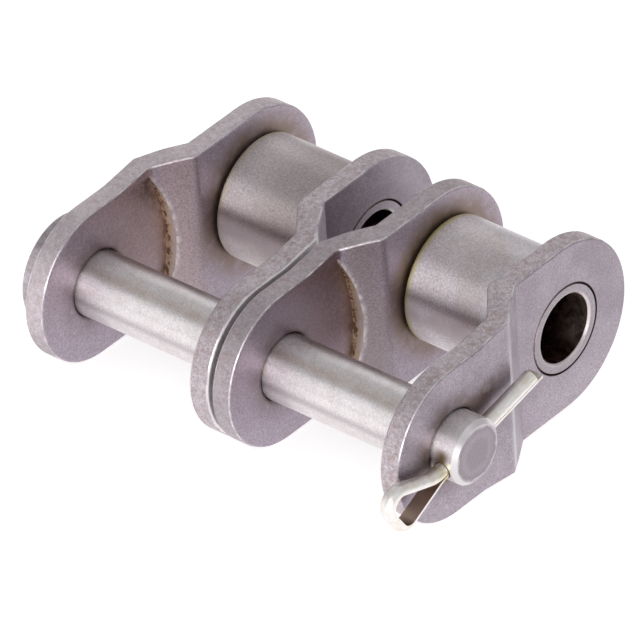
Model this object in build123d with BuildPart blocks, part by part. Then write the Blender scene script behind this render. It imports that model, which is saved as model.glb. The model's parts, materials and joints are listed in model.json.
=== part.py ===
from build123d import *
import os

os.makedirs("parts", exist_ok=True)

# Chain sizes: X runs along the pin, Y along the chain, Z is up
pitch = 25.4
roller_end_width = 15.75
plate_thickness = 2.85
plate_side_gap = 0.75
strand_gap = 0.64

# Side outline of a plate
pin_end_height = 20.5
roller_end_height = 22.9
edge_rounding = 0.35

# Round clearance step for the roller ends of the next link
step_clearance = 1.05
step_radius = 21.5

# Bends and sloping edges of a plate, measured along the chain from the step
inner_bend_before = 2.1
inner_bend_after = 2.5
outer_bend_before = 1.7
outer_bend_after = 4.2
slope_before = 7.4
slope_after = 1.2
inner_bend_radius = 1.5
outer_bend_radius = 5.0
slope_rounding = 10.0

# Link pin with its flat head
pin_diameter = 8.5
pin_clearance = 0.1
pin_tip = 0.95
pin_end_chamfer = 0.55
head_overhang = 3.05
head_thickness = 3.2
head_rounding = 0.6
hole_chamfer = 0.2

# Cotter pin bent from half-round wire, lengths measured from the side of the link pin
cotter_diameter = 2.1
cotter_clearance = 0.15
cotter_tilt = 12.0
cotter_side_gap = 0.55
leg_gap = 0.08
short_leg = 8.65
long_leg = 9.65
neck_radius = 6.0
low_neck = 0.95
high_neck = 1.85
low_corner = 8.15
high_corner = 10.85
eye_drop = 1.85
eye_rise = 5.2
eye_radius = 1.4

# Bushes and rollers
bore_clearance = 0.25
bush_wall = 1.45
bush_chamfer = 0.25
roller_clearance = 0.05
roller_wall = 2.15
roller_side_gap = 0.3
roller_rounding = 0.45

# Widths that follow from the sizes
bush_length = roller_end_width + 2 * plate_thickness
pin_end_width = bush_length + 2 * plate_side_gap
strand_spacing = pin_end_width + 2 * plate_thickness + strand_gap
crank_offset = plate_thickness + plate_side_gap
roller_length = roller_end_width - 2 * roller_side_gap

# Radii that follow from the sizes
pin_end_radius = pin_end_height / 2
roller_end_radius = roller_end_height / 2
pin_radius = pin_diameter / 2
head_radius = pin_radius + head_overhang
pin_hole_radius = pin_radius + pin_clearance
bore_radius = pin_radius + bore_clearance
bush_radius = bore_radius + bush_wall
roller_bore_radius = bush_radius + roller_clearance
roller_radius = roller_bore_radius + roller_wall
cotter_radius = cotter_diameter / 2

# Places along the chain
step_y = roller_end_radius + step_clearance - pitch
step_center_y = step_y - step_radius
inner_bend_start = step_y - inner_bend_before
inner_bend_end = step_y + inner_bend_after
outer_bend_start = step_y - outer_bend_before
outer_bend_end = step_y + outer_bend_after
slope_start = step_y - slope_before
slope_end = step_y + slope_after

# Places along the pin
strand_x = strand_spacing / 2
plate_end_x = strand_x + pin_end_width / 2 + plate_thickness
cotter_x = plate_end_x + cotter_side_gap + cotter_radius
pin_end_x = cotter_x + cotter_radius + pin_tip

# Cuts that go right through are longer than any piece
cut_length = 2 * pitch
along_x = (0, 90, 0)
pin_axis = Axis((0, -pitch, 0), (1, 0, 0))


def cranked_plate(center_x, side):
    """Plate of the strand at center_x; side is -1 left of the roller and 1 right of it."""
    pin_inner = center_x + side * pin_end_width / 2
    pin_outer = pin_inner + side * plate_thickness
    roller_inner = pin_inner - side * crank_offset
    roller_outer = pin_outer - side * crank_offset
    tail_y = -pitch - pin_end_height
    nose_y = roller_end_height
    with BuildPart() as plate:
        # Strip seen from above, with a bend on each side of the slope
        with BuildSketch(Plane.XY.offset(-roller_end_height)) as strip:
            with BuildLine():
                Polyline(
                    (pin_inner, tail_y),
                    (pin_outer, tail_y),
                    (pin_outer, outer_bend_start),
                    (roller_outer, outer_bend_end),
                    (roller_outer, nose_y),
                    (roller_inner, nose_y),
                    (roller_inner, inner_bend_end),
                    (pin_inner, inner_bend_start),
                    close=True,
                )
            make_face()
            corners = strip.vertices().sort_by(Axis.Y)
            bends = corners[2:6]
            fillet([bends[0], bends[2]], inner_bend_radius)
            fillet([bends[1], bends[3]], outer_bend_radius)
        extrude(amount=2 * roller_end_height)
        # Side outline, two round ends joined by edges that rise along the slope
        with BuildSketch(Plane.YZ.offset(center_x - cut_length / 2)) as outline:
            with BuildLine():
                Polyline(
                    (-pitch, pin_end_radius),
                    (slope_start, pin_end_radius),
                    (slope_end, roller_end_radius),
                    (0, roller_end_radius),
                    (0, -roller_end_radius),
                    (slope_end, -roller_end_radius),
                    (slope_start, -pin_end_radius),
                    (-pitch, -pin_end_radius),
                    close=True,
                )
            make_face()
            slope_corners = outline.vertices().sort_by(Axis.X)[2:6]
            fillet(slope_corners, slope_rounding)
            Circle(roller_end_radius)
            with Locations((-pitch, 0)):
                Circle(pin_end_radius)
        extrude(amount=cut_length, mode=Mode.INTERSECT)
        rim = plate.edges().filter_by(Axis.X, reverse=True).filter_by(Axis.Z, reverse=True)
        fillet(rim, edge_rounding)
        # Clearance step beside the pin, for the plate ends of the next link
        with Locations(Location((pin_inner - side * cut_length / 2, step_center_y, 0), along_x)):
            Cylinder(step_radius, cut_length, mode=Mode.SUBTRACT)
        # Bush hole
        with Locations(Location((center_x, 0, 0), along_x)):
            Cylinder(bush_radius, cut_length, mode=Mode.SUBTRACT)
        # Pin hole with chamfered rims, turned about the pin axis
        with BuildSketch(Plane.XY):
            with BuildLine():
                Polyline(
                    (pin_inner, -pitch),
                    (pin_inner, pin_hole_radius + hole_chamfer - pitch),
                    (pin_inner + side * hole_chamfer, pin_hole_radius - pitch),
                    (pin_outer - side * hole_chamfer, pin_hole_radius - pitch),
                    (pin_outer, pin_hole_radius + hole_chamfer - pitch),
                    (pin_outer, -pitch),
                    close=True,
                )
            make_face()
        revolve(axis=pin_axis, mode=Mode.SUBTRACT)
    return plate.part


def bush(center_x):
    """Bush pressed into the roller ends of one strand, flush with the plates."""
    with BuildPart() as sleeve:
        with Locations(Location((center_x, 0, 0), along_x)):
            Cylinder(bush_radius, bush_length)
        ends = sleeve.edges().filter_by(GeomType.CIRCLE)
        chamfer(ends, bush_chamfer)
        with Locations(Location((center_x, 0, 0), along_x)):
            Cylinder(bore_radius, bush_length, mode=Mode.SUBTRACT)
        bore_ends = sleeve.edges(Select.LAST).filter_by(GeomType.CIRCLE)
        chamfer(bore_ends, bush_chamfer)
    return sleeve.part


def roller(center_x):
    """Roller that spins on the bush, with rounded outer corners."""
    with BuildPart() as drum:
        with Locations(Location((center_x, 0, 0), along_x)):
            Cylinder(roller_radius, roller_length)
        fillet(drum.edges().filter_by(GeomType.CIRCLE), roller_rounding)
        with Locations(Location((center_x, 0, 0), along_x)):
            Cylinder(roller_bore_radius, roller_length, mode=Mode.SUBTRACT)
    return drum.part


# Four cranked plates, two for each strand
with BuildPart() as left_outer_plate:
    add(cranked_plate(-strand_x, -1))

with BuildPart() as left_inner_plate:
    add(cranked_plate(-strand_x, 1))

with BuildPart() as right_inner_plate:
    add(cranked_plate(strand_x, -1))

with BuildPart() as right_outer_plate:
    add(cranked_plate(strand_x, 1))

# Bushes and rollers
with BuildPart() as left_bush:
    add(bush(-strand_x))

with BuildPart() as right_bush:
    add(bush(strand_x))

with BuildPart() as left_roller:
    add(roller(-strand_x))

with BuildPart() as right_roller:
    add(roller(strand_x))

# Link pin: half profile turned about its axis, with the flat head on the left
with BuildPart() as link_pin:
    with BuildSketch(Plane.XY) as half_section:
        with BuildLine():
            Polyline(
                (-plate_end_x - head_thickness, -pitch),
                (-plate_end_x - head_thickness, head_radius - pitch),
                (-plate_end_x, head_radius - pitch),
                (-plate_end_x, pin_radius - pitch),
                (pin_end_x, pin_radius - pitch),
                (pin_end_x, -pitch),
                close=True,
            )
        make_face()
        head_corners = half_section.vertices().sort_by(Axis.Y)[-2:]
        fillet(head_corners, head_rounding)
        tip_corner = half_section.vertices().sort_by(Axis.X)[-2:].sort_by(Axis.Y)[-1]
        chamfer(tip_corner, pin_end_chamfer)
    revolve(axis=pin_axis)
    # Cross hole for the cotter
    with Locations(Location((cotter_x, -pitch, 0), (cotter_tilt - 90, 0, 0))):
        Cylinder(cotter_radius + cotter_clearance, cut_length, mode=Mode.SUBTRACT)

# Cotter pin: half-round wire from tip to tip around the open eye
cotter_plane = Plane(
    origin=(cotter_x, -pitch, 0),
    x_dir=Vector(0, 1, 0).rotate(Axis.X, cotter_tilt),
    z_dir=(1, 0, 0),
)
leg_offset = leg_gap / 2
with BuildPart() as cotter_pin:
    with BuildLine(cotter_plane) as wire_path:
        FilletPolyline(
            (pin_radius + long_leg, -leg_offset),
            (-pin_radius - low_neck, -leg_offset),
            (-pin_radius - low_corner, -eye_drop),
            (-pin_radius - high_corner, eye_rise),
            (-pin_radius - high_neck, leg_offset),
            (pin_radius + short_leg, leg_offset),
            radius=(neck_radius, eye_radius, eye_radius, neck_radius),
        )
    wire_start = wire_path.wires()[0]
    with BuildSketch(Plane(wire_start @ 0, x_dir=(1, 0, 0), z_dir=wire_start % 0)):
        with BuildLine():
            round_side = CenterArc((0, 0), cotter_radius, 180, 180)
            Line(round_side @ 1, round_side @ 0)
        make_face()
    sweep()

left_outer_plate.part.label = "left_outer_plate"
left_inner_plate.part.label = "left_inner_plate"
right_inner_plate.part.label = "right_inner_plate"
right_outer_plate.part.label = "right_outer_plate"
left_bush.part.label = "left_bush"
right_bush.part.label = "right_bush"
left_roller.part.label = "left_roller"
right_roller.part.label = "right_roller"
link_pin.part.label = "link_pin"
cotter_pin.part.label = "cotter_pin"

export_step(left_outer_plate.part, "parts/left_outer_plate.step")
export_step(left_inner_plate.part, "parts/left_inner_plate.step")
export_step(right_inner_plate.part, "parts/right_inner_plate.step")
export_step(right_outer_plate.part, "parts/right_outer_plate.step")
export_step(left_bush.part, "parts/left_bush.step")
export_step(right_bush.part, "parts/right_bush.step")
export_step(left_roller.part, "parts/left_roller.step")
export_step(right_roller.part, "parts/right_roller.step")
export_step(link_pin.part, "parts/link_pin.step")
export_step(cotter_pin.part, "parts/cotter_pin.step")
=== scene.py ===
import json
import math

import bpy
from mathutils import Matrix, Vector


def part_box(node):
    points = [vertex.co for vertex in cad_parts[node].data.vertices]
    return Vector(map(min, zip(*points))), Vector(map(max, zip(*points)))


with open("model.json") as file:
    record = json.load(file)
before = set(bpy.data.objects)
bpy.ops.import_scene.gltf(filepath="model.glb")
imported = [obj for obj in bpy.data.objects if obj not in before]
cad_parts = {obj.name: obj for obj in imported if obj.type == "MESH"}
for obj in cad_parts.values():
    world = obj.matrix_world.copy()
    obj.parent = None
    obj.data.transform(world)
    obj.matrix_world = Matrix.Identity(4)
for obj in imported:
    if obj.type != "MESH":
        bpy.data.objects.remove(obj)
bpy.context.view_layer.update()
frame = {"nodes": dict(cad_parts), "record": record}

# Lengths below are in millimetres unless a comment says metres
mm = 1000.0


def box_mm(name):
    """Lowest and highest corner of a CAD node, in millimetres."""
    low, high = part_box(name)
    return low * mm, high * mm


# Sizes read from the CAD nodes
pin_low, pin_high = box_mm("link_pin")
cotter_low, cotter_high = box_mm("cotter_pin")
roller_low, roller_high = box_mm("right_roller")
plate_low, plate_high = box_mm("right_outer_plate")
pin_y = (pin_low.y + pin_high.y) / 2
cotter_x = (cotter_low.x + cotter_high.x) / 2
strand_x = (roller_low.x + roller_high.x) / 2
roller_half = (roller_high.x - roller_low.x) / 2
roller_radius = roller_high.z
roller_end_radius = plate_high.z
pin_end_radius = pin_y - plate_low.y
bush_radius = box_mm("right_bush")[1].z

# Sizes that no box gives, the same as in the CAD model
pin_radius = 4.25
bore_radius = 4.5
pin_inner_gap = 11.475
step_radius = 21.5
step_center_y = -34.4

# Where the looks change: upper end of the step wall, middle of the sloping part inside,
# crest of the bend outside, middle of the cotter's eye, and the slope of its legs
step_height = 9.27
ramp_y = -12.4
ridge_y = -13.9
eye_y = -36.9
eye_z = -1.2
leg_slope = 0.21


class Shader:
    """One material: a principled surface and short calls that add nodes to it."""

    def __init__(self, name):
        self.material = bpy.data.materials.new(name)
        self.material.use_nodes = True
        self.tree = self.material.node_tree
        self.tree.nodes.clear()
        output = self.add("ShaderNodeOutputMaterial")
        self.surface = self.add("ShaderNodeBsdfPrincipled")
        self.link(self.surface.outputs["BSDF"], output.inputs["Surface"])
        coords = self.add("ShaderNodeTexCoord")
        scaled = self.add("ShaderNodeVectorMath", operation="SCALE")
        self.link(coords.outputs["Object"], scaled.inputs[0])
        scaled.inputs["Scale"].default_value = mm
        self.place = scaled.outputs[0]
        self.x, self.y, self.z = self.split(self.place)
        self.nx, self.ny, self.nz = self.split(coords.outputs["Normal"])
        self.facing = self.math("ABSOLUTE", self.nx)

    def add(self, kind, **settings):
        node = self.tree.nodes.new(kind)
        for key, value in settings.items():
            setattr(node, key, value)
        return node

    def link(self, source, target):
        self.tree.links.new(source, target)

    def put(self, socket, value):
        """Links a socket to another one, or sets it to a number or a colour."""
        if isinstance(value, bpy.types.NodeSocket):
            self.link(value, socket)
        elif isinstance(value, tuple):
            socket.default_value = (*value, 1)
        else:
            socket.default_value = value

    def split(self, vector):
        node = self.add("ShaderNodeSeparateXYZ")
        self.link(vector, node.inputs[0])
        return node.outputs

    def math(self, operation, *values):
        node = self.add("ShaderNodeMath", operation=operation)
        for socket, value in zip(node.inputs, values):
            self.put(socket, value)
        return node.outputs[0]

    def mask(self, value, low, high, to_low=0.0, to_high=1.0):
        """Goes smoothly from to_low to to_high as value goes from low to high."""
        node = self.add("ShaderNodeMapRange", interpolation_type="SMOOTHSTEP")
        for key, number in zip(
            ("Value", "From Min", "From Max", "To Min", "To Max"),
            (value, low, high, to_low, to_high),
        ):
            self.put(node.inputs[key], number)
        return node.outputs[0]

    def band(self, value, middle, half_width):
        """1 where value is at middle, down to 0 at half_width from it."""
        offset = self.math("ABSOLUTE", self.math("SUBTRACT", value, middle))
        return self.mask(offset, half_width, 0.0)

    def both(self, *masks):
        """1 only where every mask is 1."""
        total = masks[0]
        for mask in masks[1:]:
            total = self.math("MULTIPLY", total, mask)
        return total

    def radius(self, center_y):
        """Distance from an axis that runs along X at this y."""
        across = self.math("SUBTRACT", self.y, center_y)
        squares = self.math(
            "ADD",
            self.math("MULTIPLY", across, across),
            self.math("MULTIPLY", self.z, self.z),
        )
        return self.math("SQRT", squares)

    def noise(self, per_mm, detail=4.0, stretch=(1, 1, 1), roughness=0.55, seed=(0, 0, 0)):
        """Noise with this many features a millimetre, drawn out along the axes by stretch."""
        mapping = self.add("ShaderNodeMapping")
        self.link(self.place, mapping.inputs["Vector"])
        mapping.inputs["Location"].default_value = seed
        mapping.inputs["Scale"].default_value = [1 / factor for factor in stretch]
        node = self.add("ShaderNodeTexNoise")
        self.link(mapping.outputs[0], node.inputs["Vector"])
        node.inputs["Scale"].default_value = per_mm
        node.inputs["Detail"].default_value = detail
        node.inputs["Roughness"].default_value = roughness
        return node.outputs["Fac"]

    def patches(self, per_mm, seed, low, high, to_low=0.0, to_high=1.0):
        """Mask with uneven patches of this many a millimetre."""
        return self.mask(self.noise(per_mm, seed=seed), low, high, to_low, to_high)

    def mix(self, amount, first, second, blend="MIX"):
        node = self.add("ShaderNodeMix", data_type="RGBA", blend_type=blend)
        self.put(node.inputs["Factor"], amount)
        colours = [socket for socket in node.inputs if socket.type == "RGBA"]
        self.put(colours[0], first)
        self.put(colours[1], second)
        return [socket for socket in node.outputs if socket.type == "RGBA"][0]

    def vary(self, colour, value, strength):
        """Colour made darker and lighter by a noise around one half."""
        swing = self.math("MULTIPLY_ADD", value, 2 * strength, 1 - strength)
        return self.mix(1.0, colour, swing, "MULTIPLY")

    def bump(self, height, depth_mm, strength, below=None):
        node = self.add("ShaderNodeBump")
        self.put(node.inputs["Height"], height)
        node.inputs["Strength"].default_value = strength
        node.inputs["Distance"].default_value = depth_mm / mm
        if below is not None:
            self.link(below, node.inputs["Normal"])
        return node.outputs["Normal"]

    def brushed_round(self, amount):
        """Spreads reflections along X, as marks that run round the axis do."""
        tangent = self.add("ShaderNodeTangent", direction_type="RADIAL", axis="X")
        self.link(tangent.outputs[0], self.surface.inputs["Tangent"])
        self.put(self.surface.inputs["Anisotropic"], amount)
        self.surface.inputs["Anisotropic Rotation"].default_value = 0.25

    def finish(self, colour, roughness, normal):
        """Metal with this colour and roughness."""
        self.put(self.surface.inputs["Base Color"], colour)
        self.put(self.surface.inputs["Roughness"], roughness)
        self.link(normal, self.surface.inputs["Normal"])
        self.surface.inputs["Metallic"].default_value = 1.0
        return self.material


class PlateShader(Shader):
    """Shader of the plates, with masks that tell the places on a plate apart."""

    def __init__(self, name):
        super().__init__(name)
        from_strand = self.math("SUBTRACT", self.math("ABSOLUTE", self.x), strand_x)
        side = self.math("MULTIPLY", self.math("SIGN", self.x), self.math("SIGN", from_strand))
        self.outward = self.math("MULTIPLY", self.nx, side)
        self.inner = self.mask(self.outward, -0.3, -0.6)
        self.right = self.mask(self.x, -1.0, 1.0)
        self.height = self.math("ABSOLUTE", self.z)
        # How far in from the pin end's inner face, towards the middle of the strand
        self.depth = self.math("SUBTRACT", pin_inner_gap, self.math("ABSOLUTE", from_strand))
        self.from_step = self.radius(step_center_y)
        self.beside_step = self.mask(self.height, step_height + 0.6, step_height + 0.2)
        self.fine = self.noise(4.5)
        self.speck = self.noise(1.6, roughness=0.62, seed=(9, 4, 2))
        self.cloud = self.noise(0.22, 3.0, seed=(3, 1, 7))


def plate_faces(s):
    """Purplish grey, paler below, with painted light on the inner faces, painted light and shade on
    the sloping parts inside, and brown film with painted shade above the pin on the inner sides.
    """
    dark, pale, low_face = (0.335, 0.29, 0.335), (0.405, 0.355, 0.405), (0.53, 0.47, 0.53)
    inner_face_painted_light, rust = (0.44, 0.38, 0.45), (0.33, 0.25, 0.25)
    left_ramp_painted_light, right_ramp_painted_shade = (0.5, 0.41, 0.43), (0.37, 0.315, 0.335)
    left_brown, right_film_and_shade = (0.42, 0.32, 0.33), (0.21, 0.145, 0.16)

    face = s.mix(s.mask(s.cloud, 0.35, 0.68), dark, pale)
    face = s.mix(s.mask(s.z, -2.0, -9.0, 0.0, 0.45), face, low_face)
    # Painted light on the inner faces; on the sloping part inside, painted light on the left strand
    # and painted shade on the right
    face = s.mix(s.inner, face, inner_face_painted_light)
    ramp = s.both(s.inner, s.band(s.y, ramp_y, 4.0), s.mask(s.depth, 0.3, 0.9))
    face = s.mix(ramp, face, s.mix(s.right, left_ramp_painted_light, right_ramp_painted_shade))
    # Brown film above the pin on the inner sides, with painted shade that makes it much darker on
    # the right strand
    pin_side = s.both(
        s.inner,
        s.mask(s.depth, 0.4, 0.15),
        s.mask(s.z, -7.0, 1.0),
        s.mask(s.from_step, 9.0, 19.0, 0.25, 1.0),
    )
    face = s.mix(pin_side, face, s.mix(s.right, left_brown, right_film_and_shade))
    face = s.vary(face, s.fine, 0.75)
    spots = s.mask(s.noise(3.0, 3.0, seed=(7, 9, 4)), 0.5, 0.7, 0.0, 0.45)
    return s.mix(spots, face, rust)


def plate_edges(s):
    """Blanked edges, finely mottled, with a few reddish spots, and painted light and shade on some
    rims.
    """
    dark, pale, red = (0.47, 0.405, 0.43), (0.59, 0.53, 0.565), (0.42, 0.29, 0.275)
    rim_painted_light, rim_painted_shade, inner_rim_painted_shade = (0.78, 0.71, 0.74), (0.36, 0.315, 0.33), (0.32, 0.28, 0.3)

    edge = s.mix(s.mask(s.speck, 0.36, 0.62), dark, pale)
    red_speck = s.noise(1.2, roughness=0.65, seed=(5, 8, 1))
    edge = s.mix(s.mask(red_speck, 0.52, 0.64, 0.0, 0.6), edge, red)
    edge = s.vary(edge, s.noise(5.0, 3.0, seed=(2, 7, 7)), 0.6)
    # Painted light and shade: left outer plate's rim paler above and darker below, right inner
    # plate's rim darker
    left_rim = s.mask(s.x, -21.0, -24.0)
    edge = s.mix(s.both(left_rim, s.mask(s.z, -4.0, 2.0, 0.0, 0.3)), edge, rim_painted_light)
    edge = s.mix(s.both(left_rim, s.mask(s.z, -2.0, -7.0, 0.0, 0.6)), edge, rim_painted_shade)
    inner_rim = s.both(s.right, s.mask(s.x, 14.0, 11.0, 0.0, 0.4))
    return s.mix(inner_rim, edge, inner_rim_painted_shade)


def step_wall(s, colour):
    """Wall of the round clearance step: torn and brown, then olive, then light, with a painted
    highlight along its edge.
    """
    torn_dark, torn_pale = (0.33, 0.21, 0.14), (0.92, 0.72, 0.5)
    olive, light, lip_colour = (0.95, 0.8, 0.58), (0.98, 0.93, 0.86), (0.8, 0.74, 0.72)

    wall = s.both(
        s.band(s.from_step, step_radius, 0.6),
        s.mask(s.facing, 0.6, 0.4),
        s.beside_step,
    )
    uneven = s.noise(1.2, seed=(2, 2, 2))
    ragged = s.math("MULTIPLY_ADD", uneven, 1.8, s.math("SUBTRACT", s.depth, 0.9))
    torn = s.mix(s.mask(s.speck, 0.42, 0.6), torn_dark, torn_pale)
    sheared = s.mix(s.mask(ragged, 0.9, 1.3), olive, light)
    colour = s.mix(wall, colour, s.mix(s.mask(ragged, 0.45, 0.7), torn, sheared))
    # Painted highlight along the edge of the step, on the face beside the wall
    lip = s.both(
        s.mask(s.from_step, step_radius + 0.6, step_radius + 0.1),
        s.mask(s.from_step, step_radius - 0.05, step_radius),
        s.inner,
        s.beside_step,
        s.patches(0.9, (1, 6, 3), 0.38, 0.62, 0.15, 0.9),
    )
    return s.mix(lip, colour, lip_colour)


def plate_oil_and_shade(s, colour):
    """Oily brown films with painted shade beside the step and round the roller and pin, a painted
    shadow along the cotter's leg, and a dark line of oil and painted shade round the pin.
    """
    step_film_and_shade, roller_film_and_shade = (0.17, 0.11, 0.085), (0.25, 0.185, 0.15)
    pin_film_and_shade, leg_painted_shadow, pin_oil_and_shade_line = (0.2, 0.145, 0.14), (0.17, 0.115, 0.1), (0.08, 0.055, 0.045)
    from_pin = s.radius(pin_y)
    from_bush = s.radius(0.0)
    flat = s.mask(s.facing, 0.8, 0.95)

    # Brown film and painted shade beside the step
    # Wider towards the upper and lower end of the step
    reach = s.math("ADD", s.from_step, s.mask(s.height, 2.0, 9.0, 2.0, 4.6))
    near_step = s.both(
        s.mask(reach, step_radius, step_radius + 4.0),
        s.mask(s.from_step, step_radius + 0.1, step_radius),
        s.inner,
        s.beside_step,
        s.patches(1.2, (6, 6, 1), 0.36, 0.6, 0.3, 0.95),
    )
    colour = s.mix(near_step, colour, step_film_and_shade)
    # Brown film and painted shade on the inner faces round the roller
    near_roller = s.both(
        s.inner,
        s.mask(from_bush, roller_radius + 4.0, roller_radius + 0.2),
        s.patches(0.5, (2, 9, 5), 0.3, 0.55, 0.5, 0.9),
    )
    colour = s.mix(near_roller, colour, roller_film_and_shade)
    # Brown film and painted shade round the pin
    near_pin = s.both(
        s.mask(from_pin, pin_radius + 3.6, pin_radius),
        flat,
        s.patches(0.45, (8, 2, 6), 0.34, 0.58, 0.4, 1.0),
        s.mask(s.inner, 0.0, 1.0, 1.0, 0.6),
    )
    colour = s.mix(near_pin, colour, pin_film_and_shade)
    # Painted shadow of the cotter's leg on the outer plate
    above_leg = s.math("MULTIPLY_ADD", s.y, -leg_slope, s.math("ADD", s.z, leg_slope * pin_y - 2.2))
    leg_shadow_area = s.both(
        s.band(s.y, pin_y + 6.5, 5.0),
        s.band(above_leg, 0.0, 2.6),
        s.mask(s.x, plate_high.x - 0.3, plate_high.x - 0.1),
        flat,
        s.patches(0.6, (5, 5, 3), 0.32, 0.55, 0.4, 1.0),
    )
    colour = s.mix(leg_shadow_area, colour, leg_painted_shadow)
    # Dark line round the pin: oil and painted shade where the pin goes through the plate
    return s.mix(s.mask(from_pin, pin_radius + 0.8, pin_radius, 0.0, 0.8), colour, pin_oil_and_shade_line)


def plate_material():
    """Tumbled steel plate: satin faces, mottled edges with worn corners and painted highlights on
    them, a torn step wall, painted light and shade in places.
    """
    s = PlateShader("plate_steel")
    wear_and_highlight_colour, bend_highlight_colour = (0.77, 0.725, 0.735), (0.7, 0.66, 0.69)
    gap_painted_light, groove_painted_shade = (0.9, 0.86, 0.88), (0.07, 0.05, 0.05)

    colour = s.mix(s.mask(s.facing, 0.45, 0.15), plate_faces(s), plate_edges(s))
    # Worn rounded corners between faces and edges, with a painted highlight
    wear_and_highlight = s.both(
        s.mask(s.facing, 0.2, 0.4),
        s.mask(s.facing, 0.77, 0.65),
        s.patches(0.7, (3, 5, 8), 0.36, 0.62, 0.25, 1.0),
    )
    colour = s.mix(wear_and_highlight, colour, wear_and_highlight_colour)
    # Painted highlight along the outer side of the bend
    bend_highlight = s.both(
        s.mask(s.outward, 0.3, 0.6),
        s.band(s.y, ridge_y, 1.3),
        s.mask(s.cloud, 0.3, 0.6, 0.45, 0.8),
    )
    colour = s.mix(bend_highlight, colour, bend_highlight_colour)
    colour = step_wall(s, colour)
    colour = plate_oil_and_shade(s, colour)
    # Painted light on the faces on both sides of the gap between the strands, and painted shade in
    # the groove round a bush
    between = s.both(s.mask(s.math("ABSOLUTE", s.x), 1.2, 0.6), s.mask(s.facing, 0.5, 0.9))
    colour = s.mix(between, colour, gap_painted_light)
    colour = s.mix(s.band(s.radius(0.0), bush_radius, 0.16), colour, groove_painted_shade)

    rough = s.mask(s.fine, 0.3, 0.7, 0.42, 0.54)
    rough = s.math("SUBTRACT", rough, s.math("MULTIPLY", wear_and_highlight, 0.18))
    normal = s.bump(s.fine, 0.012, 0.5)
    rim = s.mask(s.facing, 0.6, 0.3)
    normal = s.bump(s.math("MULTIPLY", rim, s.speck), 0.05, 0.5, normal)
    return s.finish(colour, rough, normal)


def pin_material():
    """Ground pin: faint marks that run round it, worn end corner with a painted highlight, duller
    end face and head; painted reflection, shade and light on its side and stub.
    """
    s = Shader("pin_steel")
    pale, warm = (0.82, 0.78, 0.795), (0.77, 0.715, 0.715)
    film_and_reflection_colour, front_painted_shade, back_painted_shade = (0.68, 0.595, 0.56), (0.58, 0.53, 0.55), (0.5, 0.42, 0.42)
    stub_painted_light, corner_wear_and_highlight, oil_and_shade = (0.97, 0.93, 0.93), (0.72, 0.68, 0.7), (0.3, 0.22, 0.12)
    end_dark, end_pale, end_edge_highlight = (0.315, 0.275, 0.305), (0.36, 0.32, 0.35), (0.56, 0.515, 0.545)
    head_dark, head_pale = (0.46, 0.4, 0.43), (0.58, 0.52, 0.56)
    from_axis = s.radius(pin_y)
    lines = s.noise(5.0, stretch=(1, 12, 12))
    cloud = s.noise(0.5, seed=(1, 5, 2))
    fine = s.noise(4.5, 3.0, seed=(3, 3, 9))

    # Round side: painted brown reflection along the upper front, a darker line of painted shade
    # below it and a back darkened with painted shade
    front = s.mask(s.ny, 0.0, -0.2)
    colour = s.mix(s.mask(cloud, 0.4, 0.65), pale, warm)
    colour = s.vary(colour, lines, 0.1)
    film_and_reflection = s.both(s.band(s.nz, 0.86, 0.14), front, s.mask(cloud, 0.3, 0.6, 0.5, 1.0))
    colour = s.mix(film_and_reflection, colour, film_and_reflection_colour)
    colour = s.mix(s.both(s.band(s.nz, 0.02, 0.22), front), colour, front_painted_shade)
    colour = s.mix(s.mask(s.ny, 0.1, 0.5, 0.0, 0.6), colour, back_painted_shade)
    # Painted light on the stub past the outer plate
    stub = s.mask(s.x, plate_high.x - 0.1, plate_high.x + 0.3)
    colour = s.mix(stub, colour, stub_painted_light)
    colour = s.vary(colour, fine, 0.4)

    # End face with a shallow ring and a painted highlight at its chamfer's edge, and a head mottled
    # like the plate edges
    end = s.mask(s.facing, 0.85, 0.97)
    swirl = s.math("MULTIPLY_ADD", cloud, 1.6, s.math("SUBTRACT", from_axis, 0.8))
    flat = s.mix(s.band(swirl, 2.4, 0.9), end_dark, end_pale)
    flat = s.mix(s.band(swirl, 3.65, 0.4), flat, end_edge_highlight)
    colour = s.mix(end, colour, s.vary(flat, fine, 0.4))
    # Worn corner at the right end, with a painted highlight
    corner = s.both(s.mask(s.x, 0.0, 1.0), s.band(s.facing, 0.7, 0.25))
    colour = s.mix(corner, colour, corner_wear_and_highlight)
    head = s.mask(s.x, 0.1 - plate_high.x, -0.1 - plate_high.x)
    mottle = s.mask(s.noise(1.6, roughness=0.62), 0.36, 0.62)
    colour = s.mix(head, colour, s.vary(s.mix(mottle, head_dark, head_pale), fine, 0.4))

    # Oil and painted shade where the cotter goes in
    hole = s.both(
        s.band(s.x, cotter_x, 1.35),
        s.mask(s.math("ABSOLUTE", s.z), 2.2, 1.2),
        s.mask(from_axis, 3.9, 4.1),
    )
    colour = s.mix(hole, colour, oil_and_shade)

    rough = s.mask(fine, 0.3, 0.7, 0.3, 0.38)
    rough = s.math("MULTIPLY_ADD", s.math("MAXIMUM", end, head), 0.1, rough)
    s.brushed_round(s.mask(s.facing, 0.5, 0.2, 0.0, 0.9))
    return s.finish(colour, rough, s.bump(lines, 0.004, 0.4))


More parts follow.
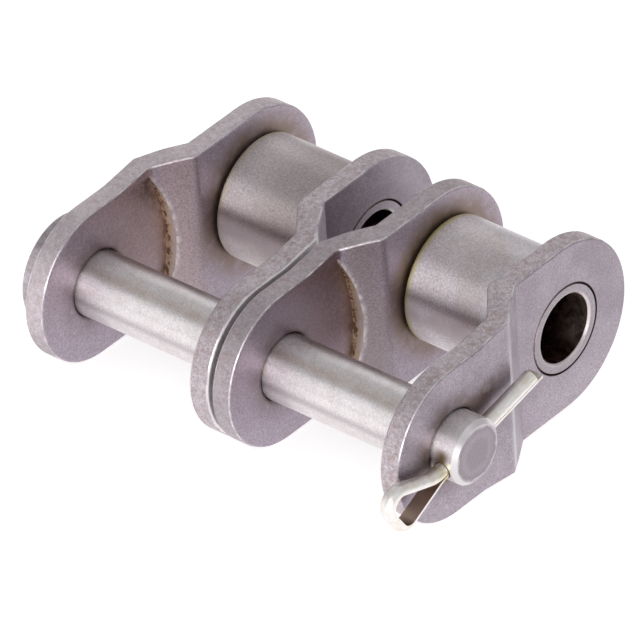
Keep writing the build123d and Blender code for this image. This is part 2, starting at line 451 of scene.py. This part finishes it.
def cotter_material():
    """Bright drawn wire, with an olive film where it enters the pin, a brown tip, and painted shade
    inside the eye.
    """
    s = Shader("cotter_steel")
    pale, warm = (0.88, 0.85, 0.84), (0.84, 0.78, 0.7)
    eye_inside_shade, film_and_reflection_colour, tip_colour = (0.42, 0.32, 0.26), (0.6, 0.48, 0.2), (0.5, 0.38, 0.26)
    lines = s.noise(4.0, 3.0, stretch=(1, 8, 1))
    cloud = s.noise(0.8, seed=(4, 4, 1))
    colour = s.mix(s.mask(cloud, 0.42, 0.66), pale, warm)
    colour = s.vary(colour, lines, 0.2)

    # Flat side of the wire, inside the eye, darkened with painted shade
    from_eye_y = s.math("SUBTRACT", s.y, eye_y)
    from_eye_z = s.math("SUBTRACT", s.z, eye_z)
    from_eye = s.math("MULTIPLY_ADD", from_eye_y, s.ny, s.math("MULTIPLY", from_eye_z, s.nz))
    flat_side = s.both(s.mask(from_eye, 0.0, -0.8), s.mask(s.y, pin_y - 5.0, pin_y - 6.5))
    colour = s.mix(flat_side, colour, eye_inside_shade)

    # Film at the pin's cross hole, and the tip of the legs
    from_pin = s.math("SUBTRACT", s.radius(pin_y), pin_radius)
    film_and_reflection = s.both(
        s.band(from_pin, 0.6, 1.5),
        s.mask(s.y, pin_y, pin_y - 2.0),
        s.mask(cloud, 0.35, 0.6, 0.35, 0.9),
    )
    colour = s.mix(film_and_reflection, colour, film_and_reflection_colour)
    tip = s.both(s.mask(s.y, pin_y + 12.4, pin_y + 13.6), s.mask(cloud, 0.4, 0.6, 0.2, 0.7))
    colour = s.mix(tip, colour, tip_colour)
    return s.finish(colour, s.mask(lines, 0.3, 0.7, 0.36, 0.46), s.bump(lines, 0.006, 0.4))


def bush_material():
    """Bush: grey ring at the end, dark bore of oil and painted shade with a painted glint near its
    ends, painted shade in the groove round its outer edge.
    """
    s = Shader("bush_steel")
    end_colour, lip_colour = (0.35, 0.31, 0.34), (0.68, 0.62, 0.63)
    outer_groove_shade = (0.08, 0.06, 0.06)
    bore_oil_and_shade, bore_pale, glint = (0.09, 0.045, 0.04), (0.3, 0.19, 0.165), (0.92, 0.72, 0.64)
    from_axis = s.radius(0.0)
    fine = s.noise(4.0)
    # Dark oily bore, darkened further with painted shade
    bore = s.mix(s.patches(1.1, (4, 4, 4), 0.45, 0.66), bore_oil_and_shade, bore_pale)
    # Painted glint on the bore near its ends
    painted_highlight = s.both(
        s.mask(s.ny, -0.3, -0.8),
        s.mask(s.math("ABSOLUTE", s.x), 20.5, 24.3),
        s.patches(0.9, (8, 3, 2), 0.35, 0.55, 0.35, 1.0),
    )
    bore = s.mix(painted_highlight, bore, glint)
    colour = s.mix(s.mask(s.facing, 0.6, 0.9), bore, s.vary(end_colour, fine, 0.5))
    lip = s.both(s.band(from_axis, bore_radius + 0.15, 0.25), s.mask(s.facing, 0.2, 0.5))
    colour = s.mix(lip, colour, lip_colour)
    # Painted shade in the groove round the bush's outer edge
    outer = s.both(
        s.mask(from_axis, bush_radius - 0.3, bush_radius - 0.1),
        s.mask(s.facing, 0.9, 0.8),
    )
    colour = s.mix(outer, colour, outer_groove_shade)
    return s.finish(colour, s.mask(fine, 0.3, 0.7, 0.3, 0.4), s.bump(fine, 0.012, 0.4))


def roller_material():
    """Smooth roller with an oily film, yellowish at its rims, with a painted highlight towards its
    left end and a darker streak of painted shade along the front.
    """
    s = Shader("roller_steel")
    pale, warm, left_roller_darker = (0.73, 0.685, 0.72), (0.65, 0.585, 0.59), (0.49, 0.42, 0.42)
    roller_highlight_colour, yellow_oil, front_painted_shade = (0.88, 0.83, 0.85), (0.62, 0.54, 0.24), (0.44, 0.375, 0.395)
    lines = s.noise(4.0, stretch=(1, 6, 6))
    fine = s.noise(4.5, 3.0, seed=(6, 1, 8))
    cloud = s.noise(0.2, 3.0, seed=(7, 3, 5))
    colour = s.mix(s.mask(cloud, 0.38, 0.62), pale, warm)
    # Left roller darker
    colour = s.mix(s.mask(s.x, 1.0, -1.0, 0.0, 0.85), colour, left_roller_darker)
    colour = s.vary(colour, lines, 0.14)

    # Painted highlight towards its left end
    middle = s.math("MULTIPLY", s.math("SIGN", s.x), strand_x)
    painted_highlight = s.mask(s.math("SUBTRACT", s.x, middle), 2.0, -5.5, 0.0, 0.45)
    colour = s.mix(painted_highlight, colour, roller_highlight_colour)
    colour = s.vary(colour, fine, 0.6)

    # Yellow oil at both rims, stronger on the right roller
    from_strand = s.math("ABSOLUTE", s.math("SUBTRACT", s.math("ABSOLUTE", s.x), strand_x))
    past_end = s.math("SUBTRACT", from_strand, roller_half)
    yellow = s.mask(s.math("MULTIPLY_ADD", cloud, 1.2, past_end), -0.7, 0.35, 0.0, 0.9)
    yellow = s.both(yellow, s.mask(s.x, -1.0, 1.0, 0.35, 1.0))
    colour = s.mix(yellow, colour, yellow_oil)
    # Painted shade: darker streak along the front
    front_shade_streak = s.both(
        s.band(s.nz, 0.0, 0.36),
        s.mask(s.ny, 0.2, -0.2),
        s.mask(cloud, 0.25, 0.6, 0.5, 1.0),
    )
    colour = s.mix(s.math("MULTIPLY", front_shade_streak, 0.8), colour, front_painted_shade)
    s.brushed_round(0.85)
    return s.finish(colour, s.mask(fine, 0.3, 0.7, 0.43, 0.51), s.bump(lines, 0.005, 0.4))


materials = {
    "plate_steel": plate_material(),
    "pin_steel": pin_material(),
    "cotter_steel": cotter_material(),
    "bush_steel": bush_material(),
    "roller_steel": roller_material(),
}
for subpart in frame["record"]["subparts"]:
    mesh = frame["nodes"][subpart["node"]].data
    mesh.materials.clear()
    mesh.materials.append(materials[subpart["material_slot"]])

# The link stands on its lower pin end and on the corner where its roller end begins,
# so the floor is tilted
floor_touch_y = -11.7
floor_rise = roller_end_radius - pin_end_radius
floor_tilt = math.atan2(floor_rise, floor_touch_y - pin_y)
floor_half_m = 4.0
floor_shade = 0.8
floor_glow = 0.62
world_light_level = 0.55
world_seen_level = 1.0


def stage_material(name, shade, glow):
    """Pale stage surface that keeps shadows and reads white to the camera and in reflections."""
    material = bpy.data.materials.new(name)
    material.use_nodes = True
    tree = material.node_tree
    tree.nodes.clear()
    output = tree.nodes.new("ShaderNodeOutputMaterial")
    total = tree.nodes.new("ShaderNodeAddShader")
    diffuse = tree.nodes.new("ShaderNodeBsdfDiffuse")
    emission = tree.nodes.new("ShaderNodeEmission")
    path = tree.nodes.new("ShaderNodeLightPath")
    seen = tree.nodes.new("ShaderNodeMath")
    seen.operation = "ADD"
    seen.use_clamp = True
    strength = tree.nodes.new("ShaderNodeMath")
    strength.operation = "MULTIPLY"
    strength.inputs[1].default_value = glow
    diffuse.inputs["Color"].default_value = (shade, shade, shade, 1)
    tree.links.new(path.outputs["Is Camera Ray"], seen.inputs[0])
    tree.links.new(path.outputs["Is Glossy Ray"], seen.inputs[1])
    tree.links.new(seen.outputs[0], strength.inputs[0])
    tree.links.new(strength.outputs[0], emission.inputs["Strength"])
    tree.links.new(diffuse.outputs[0], total.inputs[0])
    tree.links.new(emission.outputs[0], total.inputs[1])
    tree.links.new(total.outputs[0], output.inputs["Surface"])
    return material


def world_light():
    """Even pale surroundings: white to the camera, softer as light."""
    world = bpy.data.worlds.new("studio")
    bpy.context.scene.world = world
    world.use_nodes = True
    tree = world.node_tree
    tree.nodes.clear()
    output = tree.nodes.new("ShaderNodeOutputWorld")
    background = tree.nodes.new("ShaderNodeBackground")
    path = tree.nodes.new("ShaderNodeLightPath")
    level = tree.nodes.new("ShaderNodeMapRange")
    level.inputs["To Min"].default_value = world_light_level
    level.inputs["To Max"].default_value = world_seen_level
    tree.links.new(path.outputs["Is Camera Ray"], level.inputs["Value"])
    tree.links.new(level.outputs[0], background.inputs["Strength"])
    tree.links.new(background.outputs[0], output.inputs["Surface"])
    background.inputs["Color"].default_value = (1, 1, 1, 1)


def softbox(name, place_m, width_m, height_m, radiance):
    """Square lamp that faces the link and looks this bright in a mirror."""
    lamp = bpy.data.lights.new(name, "AREA")
    lamp.shape = "RECTANGLE"
    lamp.size = width_m
    lamp.size_y = height_m
    lamp.energy = radiance * math.pi * width_m * height_m
    holder = bpy.data.objects.new(name, lamp)
    bpy.context.scene.collection.objects.link(holder)
    holder.location = place_m
    holder.rotation_euler = (-Vector(place_m)).to_track_quat("-Z", "Y").to_euler()
    holder.visible_camera = False


floor_mesh = bpy.data.meshes.new("floor")
signs = ((-1, -1), (1, -1), (1, 1), (-1, 1))
corners = [(x * floor_half_m, y * floor_half_m, 0) for x, y in signs]
floor_mesh.from_pydata(corners, [], [(0, 1, 2, 3)])
floor = bpy.data.objects.new("floor", floor_mesh)
bpy.context.scene.collection.objects.link(floor)
floor.rotation_euler = (-floor_tilt, 0, 0)
floor.location = Vector((0, floor_touch_y, -roller_end_radius)) / mm
floor_mesh.materials.append(stage_material("floor", floor_shade, floor_glow))

world_light()
softbox("left_front", (-0.9, -0.9, 0.45), 1.0, 0.7, 0.6)
softbox("back", (-0.5, 1.0, 0.8), 1.2, 0.6, 0.35)
softbox("right", (1.1, 0.3, 0.7), 0.8, 0.8, 0.25)
softbox("low_front", (0.75, -1.05, 0.32), 0.9, 0.5, 4.0)
softbox("front", (0.55, -1.0, 0.95), 0.35, 0.35, 5.0)

# Camera fitted to the photograph, its place in metres
camera_place = (0.813201, -0.920219, 0.876571)
camera_right = Vector((0.7675038, 0.6389012, -0.0523757))
camera_down = Vector((0.3419882, -0.4771892, -0.8095274))
camera_ahead = Vector((-0.5422011, 0.6034034, -0.5847412))
camera_data = bpy.data.cameras.new("camera")
camera_data.sensor_width = 36.0
camera_data.lens = 707.28
camera_data.clip_end = 50.0
camera = bpy.data.objects.new("camera", camera_data)
bpy.context.scene.collection.objects.link(camera)
turn = Matrix((camera_right, -camera_down, -camera_ahead)).transposed()
camera.matrix_world = Matrix.Translation(camera_place) @ turn.to_4x4()
bpy.context.scene.camera = camera

bpy.context.scene.view_settings.view_transform = "Standard"
